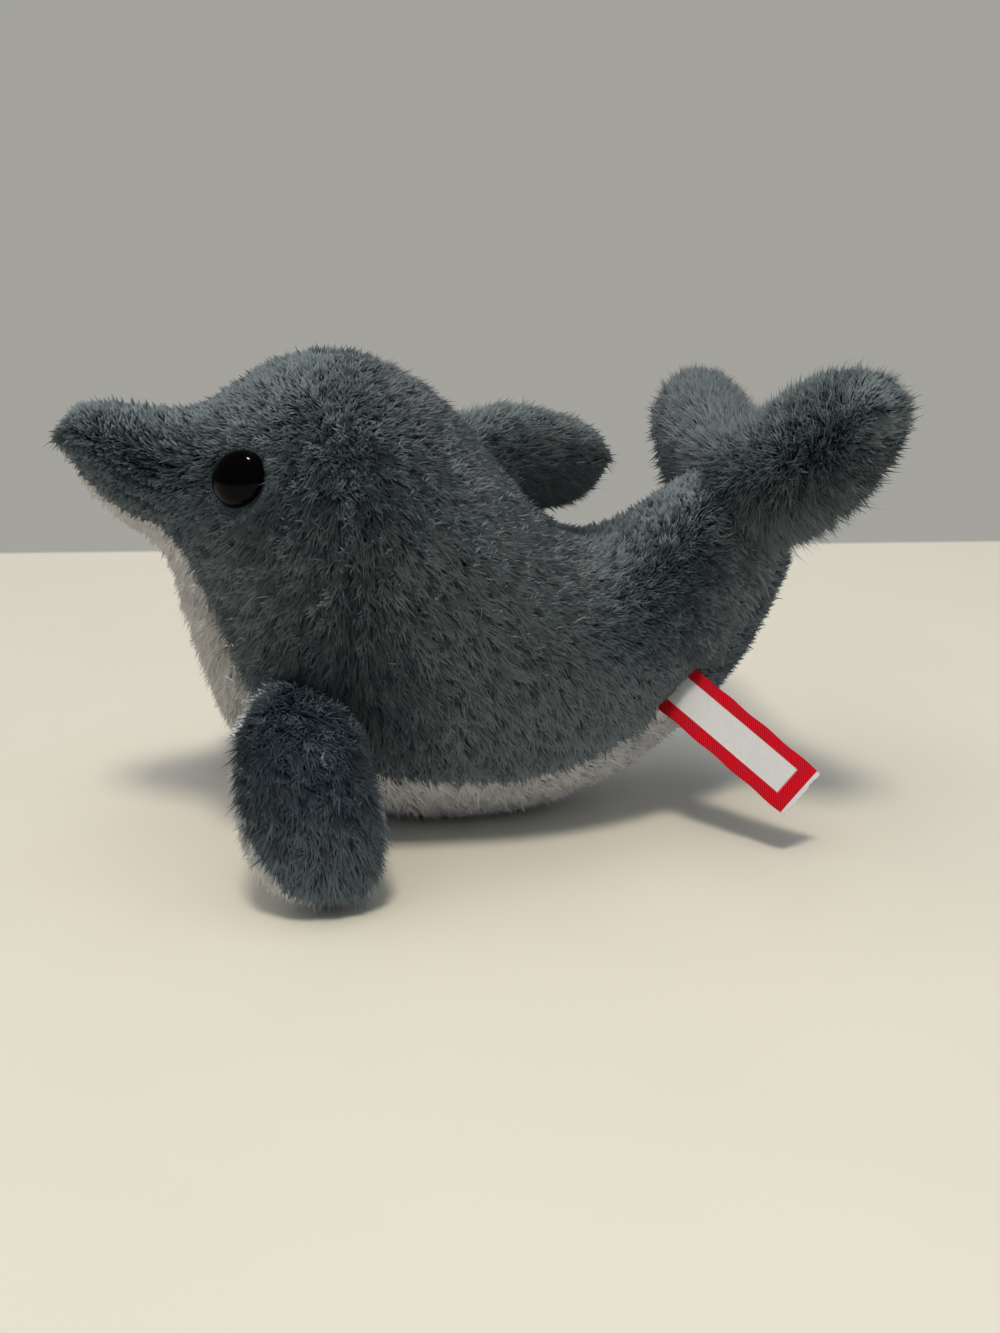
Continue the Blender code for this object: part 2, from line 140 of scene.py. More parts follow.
def section_room(rows, along, inset):
    """How far apart the cloth's opposite sides lie at each place along, the narrower way; below 0 crossed."""
    found = []
    for near in (0.0, math.pi / 2):
        across = tube(rows, along, near) - tube(rows, along, near + math.pi)
        within = cloth(rows, along, near, inset)[0] - cloth(rows, along, near + math.pi, inset)[0]
        found.append((within * unit(across)).sum(-1))
    return np.minimum(*found)


def cloth_ends(rows, first_closed, last_closed, inset):
    """Where the cloth's tube starts and ends: at a closed tip, where its opposite sides meet."""
    meeting = 0.4 * MM
    along = np.linspace(0, 1, 1500)
    wide = along[section_room(rows, along, inset) > meeting]
    return (wide[0] if first_closed else 0.0), (wide[-1] if last_closed else 1.0)


def panel_grid(rows, seams, strands, ends, inset):
    """Along of each row, and the number of columns, of a grid on one panel with cells of about one area.

    Columns are evenly spaced between the two seams; the rows lie closer where the panel is wider.
    """
    probe = np.linspace(*ends, 240)[:, None]
    share = np.linspace(0, 1, 25)[None, :]
    first, last = seams(probe)
    around = first + (last - first) * share
    points = cloth(rows, probe, around, inset)[0]
    wide = np.linalg.norm(np.diff(points, axis=1), axis=-1).sum(1)
    long = np.linalg.norm(np.diff(points, axis=0), axis=-1).mean(1)
    wide_between = (wide[1:] + wide[:-1]) / 2
    cell = 2 * (wide_between * long).sum() / strands
    columns = int(np.quantile(wide, 0.7) / math.sqrt(cell))
    pitch = np.clip(cell * columns / wide_between, 0.6 * math.sqrt(cell), 2.5 * math.sqrt(cell))
    count = np.concatenate([[0], np.cumsum(long / pitch)])
    steps = int(count[-1])
    along = np.interp(np.linspace(0, count[-1], steps + 1), count, probe[:, 0])
    return along, columns


def nearest_tuft(i, j, size, random):
    """Which point of a jittered square lattice each (i, j) is nearest to, and the way there."""
    cells = random.random((int(i.max() / size) + 4, int(j.max() / size) + 4, 2))
    home_i, home_j = (i / size).astype(int) + 1, (j / size).astype(int) + 1
    best = np.full(i.shape, np.inf)
    tuft_i, tuft_j = np.zeros_like(i), np.zeros_like(j)
    number = np.zeros(i.shape, int)
    for step_i in (-1, 0, 1):
        for step_j in (-1, 0, 1):
            a, b = home_i + step_i, home_j + step_j
            at_i = (a - 1 + cells[a, b, 0]) * size
            at_j = (b - 1 + cells[a, b, 1]) * size
            far = (at_i - i) ** 2 + (at_j - j) ** 2
            closer = far < best
            best = np.where(closer, far, best)
            tuft_i, tuft_j = np.where(closer, at_i, tuft_i), np.where(closer, at_j, tuft_j)
            number = np.where(closer, a * cells.shape[1] + b, number)
    return number, tuft_i - i, tuft_j - j


def add_mesh(name, points, faces, attributes, paint):
    """A mesh object of triangles with one value of each attribute for every point."""
    mesh = bpy.data.meshes.new(name)
    mesh.vertices.add(len(points))
    mesh.vertices.foreach_set("co", points.ravel().astype(np.float32))
    mesh.loops.add(faces.size)
    mesh.loops.foreach_set("vertex_index", faces.ravel().astype(np.int32))
    mesh.polygons.add(len(faces))
    mesh.polygons.foreach_set("loop_start", np.arange(0, faces.size, 3, dtype=np.int32))
    mesh.update(calc_edges=True)
    mesh.shade_smooth()
    for label, values in attributes.items():
        colour = np.concatenate([values, np.ones((len(values), 1))], axis=1)
        stored = mesh.color_attributes.new(label, "FLOAT_COLOR", "POINT")
        stored.data.foreach_set("color", colour.ravel().astype(np.float32))
    mesh.materials.append(paint)
    made = bpy.data.objects.new(name, mesh)
    bpy.context.scene.collection.objects.link(made)
    return made


def no_dip(points):
    return np.zeros(points.shape[:-1])


def no_comb(root, tip):
    return tip


def furred(name, rows, seams, strands, ends, inset, seam_dip, pile, paint, seed, dip=no_dip, comb=no_comb):
    """One stuffed panel: every triangle of its grid is drawn out into a three-sided strand of pile.

    A strand's tip is its root + length * (cos(lean) * outward + sin(lean) * flow), of the length that
    gives the pile's height, with the tips of a tuft drawn together. Behind the strands the panel is
    closed straight across, from seam to seam. The pile's last value is painted light and shade: above 0
    a strand shows more of its pale tips, painted light; below 0, more of its darker middles, painted shade.
    """
    random = np.random.default_rng(seed)
    along, columns = panel_grid(rows, seams, strands, ends, inset)
    steps = len(along)
    number_i, number_j = np.meshgrid(np.arange(steps, dtype=float), np.arange(columns + 1.0), indexing="ij")
    shift = random.uniform(-STRAY, STRAY, (2, steps, columns + 1))
    inner = np.zeros((steps, columns + 1))
    inner[1:-1, 1:-1] = 1
    place = np.interp(number_i + shift[0] * inner, np.arange(steps), along)
    share = (number_j + shift[1] * inner) / columns
    first, last = seams(place)
    around = first + (last - first) * share
    near = np.minimum(share, 1 - share) * columns
    spare = np.maximum(section_room(rows, along, inset), 0)[:, None]
    sunk = inset + np.minimum(seam_dip, 0.15 * spare) * np.exp(-((near / SEAM_CELLS) ** 2))
    points, normal, lengthways, sideways = cloth(rows, place, around, sunk)
    points[..., 2] = np.maximum(points[..., 2], 0.5 * inset)
    points += DRAFT_ZERO
    points -= normal * dip(points)[..., None]

    corner = np.arange(steps * (columns + 1)).reshape(steps, columns + 1)
    a, b = corner[:-1, :-1].ravel(), corner[:-1, 1:].ravel()
    c, d = corner[1:, 1:].ravel(), corner[1:, :-1].ravel()
    skin = np.concatenate([np.stack([a, b, c], 1), np.stack([a, c, d], 1)])
    flat = [value.reshape(-1, 3)[skin].mean(1) for value in (points, normal, lengthways, sideways)]
    root, outward, lengthwise, sidewise = flat[0], *(unit(value) for value in flat[1:])
    at_i, at_j = number_i.ravel()[skin].mean(1), number_j.ravel()[skin].mean(1)
    corners = points.reshape(-1, 3)[skin]
    turn = np.cross(corners[:, 1] - corners[:, 0], corners[:, 2] - corners[:, 0])
    if (turn * outward).sum() < 0:
        skin = skin[:, ::-1]

    flow, high, lean, pale = pile(root, outward, lengthwise)
    number, to_i, to_j = nearest_tuft(at_i, at_j, TUFT_CELLS, random)
    pitch_i = np.linalg.norm(corners[:, 2] - corners[:, 1], axis=1)[:, None]
    pitch_j = np.linalg.norm(corners[:, 1] - corners[:, 0], axis=1)[:, None]
    tuft = random.normal(0, 1, (number.max() + 1, 4))[number]
    single = random.normal(0, 1, (len(skin), 4))
    flow = flow + lengthwise * (TUFT_TURN * tuft[:, :1] + STRAND_TURN * single[:, :1])
    flow = flow + sidewise * (TUFT_TURN * tuft[:, 1:2] + STRAND_TURN * single[:, 1:2])
    uneven = MEAN_LENGTH + TUFT_LENGTH * tuft[:, 2] + STRAND_LENGTH * single[:, 2]
    uneven = uneven + FEW_LONG * np.maximum(single[:, 2] - 0.9, 0)
    length = high / np.cos(lean) * uneven.clip(0.5, 1.6)
    lean = lean + 0.08 * single[:, 3]
    reach = outward * np.cos(lean)[:, None] + flow * np.sin(lean)[:, None]
    gather = lengthwise * to_i[:, None] * pitch_i + sidewise * to_j[:, None] * pitch_j
    tip = root + reach * length[:, None] + GATHERED * np.clip(gather, -GATHERED_MAX, GATHERED_MAX)
    tip = comb(root, tip)
    tip[:, 2] = np.maximum(tip[:, 2], 0.05 * MM)

    top = len(corner.ravel()) + np.arange(len(skin))
    strand = [np.stack([skin[:, k], skin[:, (k + 1) % 3], top], 1) for k in range(3)]
    back = [np.stack([corner[:-1, 0], corner[1:, 0], corner[1:, -1]], 1)]
    back += [np.stack([corner[:-1, 0], corner[1:, -1], corner[:-1, -1]], 1)]
    for line, side in ((corner[0], -1), (corner[-1], 1)):
        fan = np.stack([np.full(columns - 1, line[0]), line[1:-1], line[2:]], 1)
        back.append(fan[:, ::side])
    faces = np.concatenate(strand + back)
    every = np.concatenate([points.reshape(-1, 3), tip])
    # A strand's tone: painted light and shade, then the tuft's and the strand's own tone.
    tone = 0.5 + PAINTED_LIGHT_TONE * pale + TUFT_TONE * tuft[:, 3] + STRAND_TONE * single[:, 3]
    tone = np.concatenate([np.full(corner.size, 0.5), tone])
    height = np.concatenate([np.zeros(corner.size), np.ones(len(skin))])
    shade = np.stack([height, tone.clip(0, 1), height], 1)
    return add_mesh(name, every, faces, {"strand": shade}, paint)


class Shade:
    """A socket of a material; + - * between shades and numbers add Math nodes."""

    def __init__(self, paint, socket):
        self.paint, self.socket = paint, socket

    def beside(self, output):
        """Another output of the same node."""
        return Shade(self.paint, self.socket.node.outputs[output])

    def __add__(self, other):
        return self.paint.calculated("ADD", self, other)

    def __sub__(self, other):
        return self.paint.calculated("SUBTRACT", self, other)

    def __rsub__(self, other):
        return self.paint.calculated("SUBTRACT", other, self)

    def __mul__(self, other):
        return self.paint.calculated("MULTIPLY", self, other)

    __radd__ = __add__
    __rmul__ = __mul__


class Paint:
    """A material built from nodes, ending in one Principled shader."""

    def __init__(self, name):
        self.material = bpy.data.materials.new(name)
        self.material.use_nodes = True
        self.tree = self.material.node_tree
        self.shader = self.tree.nodes["Principled BSDF"]

    def node(self, kind, settings=(), sockets=(), output=0):
        """A node of that type, its settings made first, then its sockets' values or links."""
        made = self.tree.nodes.new(kind)
        for name, value in dict(settings).items():
            setattr(made, name, value)
        for name, value in dict(sockets).items():
            self.feed(made.inputs[name], value)
        return Shade(self, made.outputs[output])

    def feed(self, socket, value):
        if isinstance(value, Shade):
            self.tree.links.new(value.socket, socket)
        else:
            socket.default_value = value

    def finish(self, **sockets):
        """Feeds the shader's sockets, named with _ for a space, and gives the material back."""
        for name, value in sockets.items():
            self.feed(self.shader.inputs[name.replace("_", " ")], value)
        return self.material

    def calculated(self, operation, *values):
        """A Math node over shades and numbers."""
        return self.node("ShaderNodeMath", {"operation": operation}, dict(enumerate(values)))

    def ramp(self, value, low, high):
        """0 below low, 1 above high and a smooth step between them."""
        settings = {"interpolation_type": "SMOOTHSTEP"}
        return self.node("ShaderNodeMapRange", settings, {"Value": value, "From Min": low, "From Max": high})

    def mix(self, share, first, second, blend_type="MIX"):
        """Colour from first to second, or to the blend of the two; inputs 6 and 7 are the node's colours."""
        settings = {"data_type": "RGBA", "blend_type": blend_type}
        return self.node("ShaderNodeMix", settings, {"Factor": share, 6: first, 7: second}, output=2)

    def place(self):
        """Position in the object's own coordinates, in metres."""
        return self.node("ShaderNodeTexCoord", output="Object")

    def noise(self, scale, detail=2.0):
        return self.node("ShaderNodeTexNoise", (), {"Vector": self.place(), "Scale": scale, "Detail": detail})


def plush_paint(name, root, middle, tip, below):
    """Pile colour from root to tip of each strand, darkened towards the root as painted shade deep in the
    pile; with its own tone, which also carries painted light and shade, a faint blotch, and painted bluish
    shade low down near the table.
    """
    paint = Paint(name)
    strand = paint.node("ShaderNodeVertexColor", {"layer_name": "strand"})
    height = paint.node("ShaderNodeSeparateColor", (), {"Color": strand}, output="Red")
    tone = height.beside("Green") - 0.5
    # The colour darkens from tip to root: painted shade deep in the pile, between the strands.
    lower = paint.mix(paint.ramp(height + 0.8 * tone, 0.05, 0.55), (*root, 1), (*middle, 1))
    upper = paint.mix(paint.ramp(height + 1.2 * tone, 0.4, 1.05), lower, (*tip, 1))
    blotch = paint.ramp(paint.noise(160.0), 0.3, 0.7)
    colour = paint.mix(0.2 * blotch, upper, (*middle, 1))
    # Painted shade: the pile is bluer low down, near the table.
    high = paint.node("ShaderNodeSeparateXYZ", (), {"Vector": paint.place()}, output="Z")
    low_down = 1 - paint.ramp(high, 0.01, 0.07)
    return paint.finish(
        Base_Color=paint.mix(low_down, colour, (*below, 1), blend_type="MULTIPLY"),
        Roughness=0.85,
        Specular_IOR_Level=0.25,
        Sheen_Weight=0.15,
        Sheen_Roughness=0.5,
    )


grey_plush = plush_paint(
    "grey_plush_pile",
    root=(0.014, 0.021, 0.031),
    middle=(0.062, 0.085, 0.101),
    tip=(0.235, 0.287, 0.303),
    below=(0.94, 0.99, 1.13),
)
white_plush = plush_paint(
    "white_plush_pile",
    root=(0.78, 0.77, 0.76),
    middle=(0.94, 0.93, 0.92),
    tip=(0.97, 0.96, 0.95),
    below=(0.98, 1.0, 1.04),
)


def belly_seams(along):
    """Angles of the left and right belly seams."""
    angle = math.pi - np.radians(spline([[value] for value in BELLY_SEAM], along)[..., 0])
    return angle, 2 * math.pi - angle


def left_side(along):
    return 0 * along, belly_seams(along)[0]


def right_side(along):
    return belly_seams(along)[1], 2 * math.pi + 0 * along


def smooth(value, low, high):
    share = np.clip((value - low) / (high - low), 0, 1)
    return share * share * (3 - 2 * share)


def over_surface(flow, outward):
    """The part of a flow that lies in the surface, no longer than 1."""
    flow = flow - outward * (flow * outward).sum(1)[:, None]
    return flow / np.maximum(np.linalg.norm(flow, axis=1, keepdims=True), 1)


def at_tip(far, lean):
    """Lean in degrees near a closed tip, far millimetres away: open round it, forward at its very end."""
    open_lean, end_lean = 18, 30
    return open_lean + (lean - open_lean) * smooth(far, 4, 13) + end_lean * (1 - smooth(far, 3.3, 6.0))


def facing_up(outward):
    """How much of the cover faces up and forwards: there the pile is painted lighter, as lit from above, and
    on the sides stands more upright.
    """
    return smooth(outward[:, 2] - 0.8 * outward[:, 0], 0.8, 1.3)


SNOUT = -100.0  # millimetres from the draft's zero, as are the next two: x of the snout's tip
CROWN = (-37.0, 110.0)  # x and z from which the pile parts
PAINTED_SHADE_SPOTS = (  # where shade is painted on the side pile, darker: x, z, reach, share
    (-35.0, 42.0, 15.0, 1.8),  # behind the flipper
    (-50.0, 78.0, 16.0, 0.2),  # behind the eye
    (-57.0, 88.0, 9.0, 1.0),  # round the eye
    (-28.0, 100.0, 14.0, 0.5),  # on the crown
    (8.0, 70.0, 12.0, 0.5),  # behind the fin
    (38.0, 66.0, 12.0, 1.2),  # in the bend of the tail
    (49.0, 54.0, 13.0, 0.2),  # under the flukes
)


def side_pile(root, outward, lengthwise):
    """Flow forwards before the crown, backwards behind it and down below it; upright on the beak."""
    x, z = (root[:, 0] - DRAFT_ZERO[0]) / MM, root[:, 2] / MM
    aside = np.tanh((x - CROWN[0]) / 20) * (0.3 + 0.7 * smooth(z, 12, 60))
    flow = np.stack([aside, 0 * x, -np.tanh((CROWN[1] - z) / 14)], 1)
    beak = 1 - smooth(x, -76, -60)
    bend = smooth(x, 12, 28) * (1 - smooth(x, 44, 52)) * smooth(z, 40, 52)
    upright = np.maximum(beak, 0.6 * bend)
    top = facing_up(outward)
    lean = at_tip(x - SNOUT, LEAN - np.maximum(30.0 * upright, 20.0 * top))
    # Painted light: paler pile where the cover faces up and along the middle of the flank; painted shade at
    # the spots listed above.
    flank = smooth(x, -35, -10) * (1 - smooth(x, 22, 38))
    pale = 1.4 * top * (1 - 0.4 * smooth(x, -20, 20)) + flank
    for at_x, at_z, reach, share in PAINTED_SHADE_SPOTS:
        pale = pale - share * np.exp(-((x - at_x) ** 2 + (z - at_z) ** 2) / reach**2)
    on_snout = beak * smooth(x, -95, -86) * smooth(outward[:, 2], 0.1, 0.7)
    high = (PILE - 0.2 * beak + 1.1 * on_snout) * MM
    return over_surface(flow, outward), high, np.radians(lean), pale


def belly_pile(root, outward, lengthwise):
    """Flow backwards along the belly; more upright under the beak, and longer on the throat."""
    x = (root[:, 0] - DRAFT_ZERO[0]) / MM
    beak = 1 - smooth(x, -84, -68)
    flow = lengthwise + np.array([0.0, 0.0, -0.5]) * (1 - beak)[:, None]
    throat = (1 - beak) * (1 - smooth(x, -60, -45))
    lean = at_tip(x - SNOUT, LEAN - 25.0 * beak)
    high = (PILE - 0.2 * beak + 0.4 * throat) * MM
    # Painted light: the grey gusset's pile is paler from x 45 mm backwards.
    return over_surface(flow, outward), high, np.radians(lean), 0.8 * smooth(x, 45, 55)


def cover(piece, *nodes, slot="grey_plush"):
    """Rides on the toy and stands for its CAD nodes, which it hides."""
    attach(piece, "root")
    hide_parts(*nodes)


EYE_AT = (0.300, 70.0)  # share of the body's length, degrees from the back line
CLAMPED = 3.1 * MM  # depth of the cloth between an eye and its washer
FLAT_TO, ROUND_FROM = 7.6, 11.0  # millimetres from the eye's axis, over which the cloth's flat seat ends
SHORT_TO, LONG_FROM = 6.6 * MM, 10.5 * MM  # from the eye's axis, over which the pile grows to its length
DOME_CLEAR = 6.75 * MM  # from the eye's axis, as near as the pile's tips come
CHIN, CHIN_DIP, CHIN_REACH = (-76.0, -8.0, 78.0), 3.0 * MM, 12  # place and reach in millimetres
DART = (-38.0, 52.0, 73.0)  # millimetres, x and the ends' z of the short dart below the crown's parting
DART_DEPTH, DART_WIDTH = 1.6, 1.6  # millimetres
body = in_space(BODY_ROWS)


def eye_seat(side):
    """Middle of an eye on the surface and its outward direction, side -1 for the left."""
    along, around = np.array(EYE_AT[0]), math.radians(EYE_AT[1])
    middle = tube(body, along, around)
    lengthways = tube(body, along + STEP, around) - middle
    normal = unit(np.cross(tube(body, along, around + STEP) - middle, lengthways))
    normal = normal * np.sign((normal * (middle - middle * (1, 0, 1))).sum())
    return middle * (1, -side, 1) + DRAFT_ZERO, normal * (1, -side, 1)


def from_eye(points, side):
    """Vector from the eye's axis to each point."""
    middle, axis = eye_seat(side)
    away = points - middle
    return away - (away * axis).sum(-1)[..., None] * axis


def beside_middle(points):
    """Whether each point is on the panel's outer part, where the eye is, away from the back line."""
    return np.abs(points[..., 1]) > 10 * MM


def chin_dip(points):
    """The filling gives a little under the beak, where it meets the throat."""
    far = np.linalg.norm((points - DRAFT_ZERO) / MM - CHIN, axis=-1)
    return CHIN_DIP * np.exp(-((far / CHIN_REACH) ** 2))


def side_dip(side):
    """The cloth is held flat against the eye's back by its washer, and drawn in along the dart."""

    def dip(points):
        middle, axis = eye_seat(side)
        round_eye = np.linalg.norm(from_eye(points, side), axis=-1) / MM
        to_flat = -CLAMPED - (points - middle) @ axis
        flat = to_flat * beside_middle(points) * (1 - smooth(round_eye, FLAT_TO, ROUND_FROM))
        x, z = (points[..., 0] - DRAFT_ZERO[0]) / MM, points[..., 2] / MM
        on_dart = smooth(z, DART[1] - 4, DART[1] + 4) * (1 - smooth(z, DART[2] - 4, DART[2] + 4))
        dart = DART_DEPTH * on_dart * np.exp(-(((x - DART[0]) / DART_WIDTH) ** 2))
        return MM * dart - flat + chin_dip(points)

    return dip


LABEL_ROOT = (40.5, -19.1, 35.9)  # millimetres from the draft's zero, the middle of the label's sewn end
LABEL_TIP = (65.3, -45.0, 14.8)
LABEL_ACROSS = (8.1, 2.0, 10.4)  # direction across the tape
PRESSED = 0.75  # share by which the pile is shorter under the tape
label_root, label_tip = (np.array(point) * MM + DRAFT_ZERO for point in (LABEL_ROOT, LABEL_TIP))


def off_label(root, tip):
    """Pile at the side label's root is pressed short by the tape."""
    run = unit(label_tip - label_root)
    across = unit(np.array(LABEL_ACROSS) - run * (run @ LABEL_ACROSS))
    along, aside, off = ((tip - label_root) @ way for way in (run, across, np.cross(run, across)))
    over = smooth(along, -4 * MM, -1 * MM) * (1 - smooth(np.abs(aside), 7 * MM, 9 * MM))
    over = over * (1 - smooth(np.abs(off), 4 * MM, 7 * MM))
    return root + (tip - root) * (1 - PRESSED * over)[:, None]


def side_comb(side):
    """Pile near the eye is short and stands clear of the dome."""

    def comb(root, tip):
        tip = off_label(root, tip)
        far_root = np.linalg.norm(from_eye(root, side), axis=1)[:, None]
        near = beside_middle(root)[:, None]
        tip = root + (tip - root) * np.where(near, 0.02 + 0.98 * smooth(far_root, SHORT_TO, LONG_FROM), 1)
        away = from_eye(tip, side)
        far = np.linalg.norm(away, axis=1)[:, None]
        clear = np.maximum(0, DOME_CLEAR - far) * near * (far_root > DOME_CLEAR)
        return tip + unit(away) * clear

    return comb


body_end = cloth_ends(body, True, False, INSET)
for side, sign, half, seed in (("left", -1, left_side, 11), ("right", 1, right_side, 12)):
    panel = furred(
        f"side_{side}_pile", body, half, 64000, body_end, INSET, SEAM_DIP, side_pile, grey_plush, seed,
        side_dip(sign), side_comb(sign),
    )
    cover(panel, f"side_panel_{side}", *(["body_filling"] if side == "left" else []))
belly = furred(
    "belly_pile", body, belly_seams, 40000, (body_end[0], LABEL_SEAM), INSET, SEAM_DIP, belly_pile,
    white_plush, 13, chin_dip, off_label,
)
cover(belly, "belly_panel", slot="white_plush")
gusset = furred(
    "tail_gusset_pile", body, belly_seams, 12000, (LABEL_SEAM, 1.0), INSET, SEAM_DIP, belly_pile,
    grey_plush, 14, no_dip, off_label,
)
cover(gusset, "tail_gusset")

# Dorsal fin: two grey panels sewn round the edge, lightly stuffed, set on the back behind the crown.
# Its pile runs out to the tip.
DORSAL_ROWS = (  # tip to root, in millimetres: front edge x, z, rear edge x, z, half thickness
    (30.5, 88.0, 30.5, 88.0, 0.0),
    (25.5, 95.5, 26.5, 80.5, 7.0),
    (14.0, 100.5, 20.0, 76.0, 10.0),
    (1.0, 102.0, 12.0, 74.0, 11.0),
    (-12.0, 98.0, 3.0, 70.0, 11.0),
)


def first_half(along):
    return 0 * along, math.pi + 0 * along


def second_half(along):
    return math.pi + 0 * along, 2 * math.pi + 0 * along


def fin_pile(tip, down, high, lean, painted_light_range, painted_top_light):
    """Flow towards the tip, where the rows start, with a share of down; open round the tip itself.

    Its painted light and shade is the range's first value 35 mm from the tip and its second at the tip;
    where it faces up it is painted lighter still, as lit from above, by the share given after the range.
    """
    tip = np.array(tip) * MM + DRAFT_ZERO

    def pile(root, outward, lengthwise):
        flow = over_surface(np.array([0.0, 0.0, -down]) - lengthwise, outward)
        far = np.linalg.norm(root - tip, axis=1) / MM
        pale = np.interp(far, (5, 35), painted_light_range[::-1]) + painted_top_light * smooth(outward[:, 2], 0.2, 0.7)
        return flow, high * MM, np.radians(at_tip(far, lean)), pale

    return pile


FIN_DIP = 0.4 * MM  # how much deeper the cloth lies at a fin's seam
dorsal = in_space(DORSAL_ROWS)
# The dorsal fin's pile is painted darker on its sides, painted shade, and lighter where it faces up, painted
# light.
for side, half, seed in (("left", first_half, 21), ("right", second_half, 22)):
    fin = furred(
        f"dorsal_{side}_pile", dorsal, half, 9000, cloth_ends(dorsal, True, False, INSET), INSET, FIN_DIP,
        fin_pile(dorsal[0][0:3], 0.4, PILE, LEAN, (-1.5, -1.5), 3.0), grey_plush, seed,
    )
    cover(fin, f"dorsal_{side}_panel", *(["dorsal_filling"] if side == "left" else []))

# Flippers: a grey outer and a white inner panel each, sewn round the edge, stuffed and set on the breast.
# Their tips rest on the table.
FLIPPER_ROWS = (
    # left one, tip to root, in millimetres: front edge x, y, z, rear edge x, y, z, half thickness
    (-47.5, -53.0, -0.5, -47.5, -53.0, -0.5, 0.0),
    (-60.0, -53.0, 7.0, -37.0, -53.5, 4.0, 7.0),
    (-65.5, -52.0, 18.0, -33.0, -53.0, 13.0, 9.5),
    (-67.0, -49.0, 30.0, -33.0, -50.0, 22.0, 10.5),
    (-65.5, -41.5, 42.0, -35.0, -42.5, 30.5, 10.5),
    (-57.0, -23.0, 47.0, -38.0, -25.0, 36.0, 9.0),
)
FLIPPER_SEAM = (10.0, 72.0)  # degrees at root and tip that the front seam lies round on the outer face
SHOULDER_DIP = 2.5 * MM  # how much lower the top lies at the breast


def mirrored(rows):
    """Rows on the other side of the middle plane, edges kept."""
    return tuple((ax, -ay, az, bx, -by, bz, half) for ax, ay, az, bx, by, bz, half in rows)


def front_seam(along):
    """Angle of a flipper's front seam, which lets the white inner panel show, most at the tip."""
    at_root, at_end = np.radians(FLIPPER_SEAM)
    return at_end + (at_root - at_end) * smooth(along, 0.05, 0.6)


def shoulder_dip(points):
    """The stuffing thins out towards the seam on the breast, so that the flipper's top lies lower there."""
    return SHOULDER_DIP * smooth(points[..., 2] / MM, 36, 46)


def facing_out(along):
    return front_seam(along), math.pi + 0 * along


def facing_in(along):
    return math.pi + 0 * along, 2 * math.pi + front_seam(along)


def turned_over(seams):
    """The same panel on a mirrored tube, where angles run the other way."""

    def seams_over(along):
        first, last = seams(along)
        return 2 * math.pi - last, 2 * math.pi - first

    return seams_over


for side, rows, outer, inner, seed in (
    ("left", FLIPPER_ROWS, facing_out, facing_in, 31),
    ("right", mirrored(FLIPPER_ROWS), turned_over(facing_out), turned_over(facing_in), 33),
):
    ends = cloth_ends(rows, True, False, INSET)
    # A flipper's outer pile is painted darker at the root, painted shade, and lighter towards its tip,
    # painted light.
    flipper = furred(
        f"flipper_{side}_outer_pile", rows, outer, 11000, ends, INSET, FIN_DIP,
        fin_pile(rows[0][0:3], 0.5, PILE + 0.1, LEAN, (-0.7, 1.7), 0.0), grey_plush, seed, shoulder_dip,
    )
    cover(flipper, f"flipper_{side}_outer_panel", f"flipper_{side}_filling")
    flipper = furred(
        f"flipper_{side}_inner_pile", rows, inner, 9000, ends, INSET, FIN_DIP,
        fin_pile(rows[0][0:3], 0.5, PILE, LEAN, (0.0, 0.0), 0.0), white_plush, seed + 1, shoulder_dip,
    )
    cover(flipper, f"flipper_{side}_inner_panel", slot="white_plush")

# Flukes: one grey upper and one grey under panel across both flukes, sewn round the edge and stuffed,
# with the longest and fluffiest pile. The tail has a slight twist.
FLUKE_ROWS = (
    # middle to left tip, in millimetres: trailing edge x, y, z, leading edge x, y, z, half thickness
    (66.5, 0.0, 97.5, 62.0, 0.0, 64.0, 13.5),
    (67.5, -13.0, 101.5, 63.5, -14.0, 64.5, 13.5),
    (69.0, -28.0, 107.0, 66.5, -28.0, 69.0, 13.5),
    (71.0, -44.0, 109.5, 70.0, -44.0, 77.5, 13.0),
    (73.0, -56.0, 106.5, 72.5, -55.0, 88.0, 10.0),
    (74.0, -61.0, 98.0, 74.0, -61.0, 98.0, 0.0),
)
FLUKE_ROLL, FLUKE_YAW = 7.0, 4.0  # degrees, left fluke up and back
FLUKE_INSET = 5.0 * MM  # the cloth lies deeper than elsewhere, under the longer pile
FLUKE_PILE, HANGING_PILE, FLUKE_LEAN = 3.0, 1.8, 42.0  # millimetres, more of them low down, degrees


def both_sides(rows):
    """Rows from the middle to the left tip, continued to the right tip by reflection."""
    right = [(ax, -ay, az, bx, -by, bz, half) for ax, ay, az, bx, by, bz, half in rows[:0:-1]]
    return tuple(right) + tuple(rows)


def twisted(rows, roll, yaw):
    """Rows turned about the middle row's centre, in degrees, the -Y side upwards and to +X."""
    middle = rows[len(rows) // 2]
    centre = (Vector(middle[0:3]) + Vector(middle[3:6])) / 2
    turn = Matrix.Rotation(math.radians(yaw), 3, "Z") @ Matrix.Rotation(math.radians(-roll), 3, "X")

    def placed(point):
        return tuple(centre + turn @ (Vector(point) - centre))

    return tuple((*placed(row[0:3]), *placed(row[3:6]), row[6]) for row in rows)


